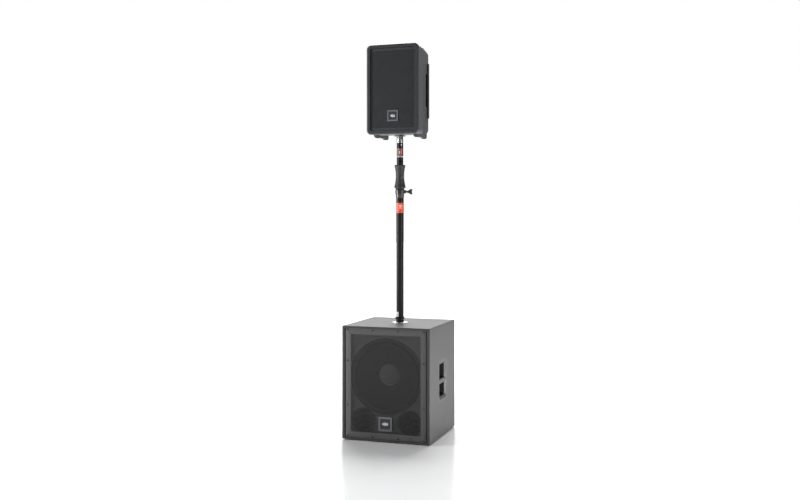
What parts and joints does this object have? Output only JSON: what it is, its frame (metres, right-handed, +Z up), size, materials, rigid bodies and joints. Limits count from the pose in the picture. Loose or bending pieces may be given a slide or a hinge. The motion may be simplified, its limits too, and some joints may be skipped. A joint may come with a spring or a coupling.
{
  "type": "pa speaker",
  "caption": "Powered satellite speaker on a height-adjustable pole above a powered subwoofer, for portable sound.",
  "frame": {"origin": "on the floor under the pole's axis, at the middle of the subwoofer's feet", "axes": "+Z up along the pole, -Y towards the front grilles, +X to the right of someone facing the front"},
  "size_m": [0.47, 0.472, 2.034],
  "materials": {
    "cabinet_paint": "fine textured dark grey paint over plywood",
    "plywood": "bare plywood",
    "grille_steel": "dark powder-coated perforated steel",
    "badge_metal": null,
    "screw_steel": "blackened steel",
    "cast_frame": "black painted cast frame",
    "magnet": "dark ferrite and plated steel",
    "cone_paper": "dark pressed paper",
    "coil": "copper winding on an aluminium former",
    "surround_cloth": "doped cloth",
    "spider_cloth": "treated cloth",
    "port_plastic": "black moulded plastic",
    "handle_plastic": "dark moulded plastic",
    "foot_rubber": "black rubber",
    "panel_metal": "black anodised",
    "electronics": "circuit board and parts",
    "socket_plastic": "black plastic",
    "knob_plastic": "black soft-touch plastic",
    "rocker_plastic": "gloss black",
    "shell_plastic": "finely grained dark plastic",
    "pole_steel": "gloss black powder coat",
    "cup_steel": "grey plated steel",
    "socket_metal": "cast aluminium",
    "collar_plastic": "black moulded plastic",
    "grip_rubber": "soft black rubber",
    "wing_plastic": "black moulded plastic on a steel screw",
    "adapter_steel": "bright turned steel"
  },
  "bodies": {
    "base": {"pole_base_plug": "pole_steel", "pole_collar": "collar_plastic", "pole_cup": "cup_steel", "pole_grip": "grip_rubber", "pole_guide_bush": "collar_plastic", "pole_lower_tube": "pole_steel", "sub_amp_board": "electronics", "sub_amp_panel": "panel_metal", "sub_back_panel": "cabinet_paint", "sub_badge": "badge_metal", "sub_baffle": "cabinet_paint", "sub_brace": "plywood", "sub_cabinet": "cabinet_paint", "sub_feet": "foot_rubber", "sub_grille": "grille_steel", "sub_handle_left": "handle_plastic", "sub_handle_right": "handle_plastic", "sub_port_tubes": "port_plastic", "sub_screws": "screw_steel", "sub_sockets": "socket_plastic", "sub_woofer_frame": "cast_frame", "sub_woofer_magnet": "magnet", "sub_woofer_spider": "spider_cloth", "sub_woofer_surround": "surround_cloth"},
    "sub_cone": {"sub_woofer_cone": "cone_paper", "sub_woofer_dust_cap": "cone_paper", "sub_woofer_voice_coil": "coil"},
    "sub_knob": {"sub_level_knob": "knob_plastic"},
    "sub_button": {"sub_polarity_button": "knob_plastic"},
    "sub_rocker": {"sub_power_rocker": "rocker_plastic"},
    "wing_screw": {"pole_wing_screw": "wing_plastic"},
    "release_button": {"pole_release_button": "collar_plastic"},
    "upper_pole": {"pole_upper_tube": "pole_steel", "pole_glide_ring": "collar_plastic", "pole_top_adapter": "adapter_steel"},
    "speaker_cone": {"top_woofer_cone": "cone_paper", "top_woofer_dust_cap": "cone_paper", "top_woofer_voice_coil": "coil"},
    "speaker_knob_1": {"top_level_knob_1": "knob_plastic"},
    "speaker_knob_2": {"top_level_knob_2": "knob_plastic"},
    "speaker_rocker": {"top_power_rocker": "rocker_plastic"},
    "speaker": {"top_amp_board": "electronics", "top_amp_panel": "panel_metal", "top_badge": "badge_metal", "top_compression_driver": "magnet", "top_feet": "foot_rubber", "top_front_baffle": "shell_plastic", "top_grille": "grille_steel", "top_handle": "handle_plastic", "top_horn": "port_plastic", "top_pole_socket": "socket_metal", "top_port_tubes": "port_plastic", "top_rails": "shell_plastic", "top_rear_shell": "shell_plastic", "top_screws": "screw_steel", "top_sockets": "socket_plastic", "top_woofer_frame": "cast_frame", "top_woofer_magnet": "magnet", "top_woofer_spider": "spider_cloth", "top_woofer_surround": "surround_cloth"}
  },
  "joints": [
    {"name": "pole_height", "type": "slide", "parent": "base", "child": "upper_pole", "axis": [0, 0, 1], "range_m": [-0.105, 0.45]},
    {"name": "speaker_swivel", "type": "hinge", "parent": "upper_pole", "child": "speaker", "pos_m": [0, 0, 1.568], "axis": [0, 0, 1], "continuous": true},
    {"name": "wing_screw_turn", "type": "hinge", "parent": "base", "child": "wing_screw", "pos_m": [0.049, 0, 1.274], "axis": [1, 0, 0], "range_deg": [0, 540]},
    {"name": "release_press", "type": "slide", "parent": "base", "child": "release_button", "axis": [-0.6691, 0.7431, 0], "range_m": [0, 0.002], "stiffness_N_per_m": 800, "springref_m": -0.002},
    {"name": "sub_cone_move", "type": "slide", "parent": "base", "child": "sub_cone", "axis": [0, -1, 0], "range_m": [-0.008, 0.008], "stiffness_N_per_m": 4000, "deforming": ["sub_woofer_surround", "sub_woofer_spider"]},
    {"name": "speaker_cone_move", "type": "slide", "parent": "speaker", "child": "speaker_cone", "axis": [0, -1, 0], "range_m": [-0.005, 0.005], "stiffness_N_per_m": 2500, "deforming": ["top_woofer_surround", "top_woofer_spider"]},
    {"name": "sub_level_turn", "type": "hinge", "parent": "base", "child": "sub_knob", "pos_m": [0.066, 0.219, 0.444], "axis": [0, 1, 0], "range_deg": [-150, 150]},
    {"name": "sub_polarity_press", "type": "slide", "parent": "base", "child": "sub_button", "axis": [0, -1, 0], "range_m": [0, 0.003], "stiffness_N_per_m": 400, "springref_m": -0.002},
    {"name": "sub_power_rock", "type": "hinge", "parent": "base", "child": "sub_rocker", "pos_m": [0, 0.219, 0.144], "axis": [1, 0, 0], "range_deg": [0, 21]},
    {"name": "speaker_level_turn_1", "type": "hinge", "parent": "speaker", "child": "speaker_knob_1", "pos_m": [-0.05, 0.123, 1.875], "axis": [0, 1, 0], "range_deg": [-150, 150]},
    {"name": "speaker_level_turn_2", "type": "hinge", "parent": "speaker", "child": "speaker_knob_2", "pos_m": [0.05, 0.123, 1.875], "axis": [0, 1, 0], "range_deg": [-150, 150]},
    {"name": "speaker_power_rock", "type": "hinge", "parent": "speaker", "child": "speaker_rocker", "pos_m": [0.026, 0.123, 1.661], "axis": [1, 0, 0], "range_deg": [0, 21]}
  ]
}
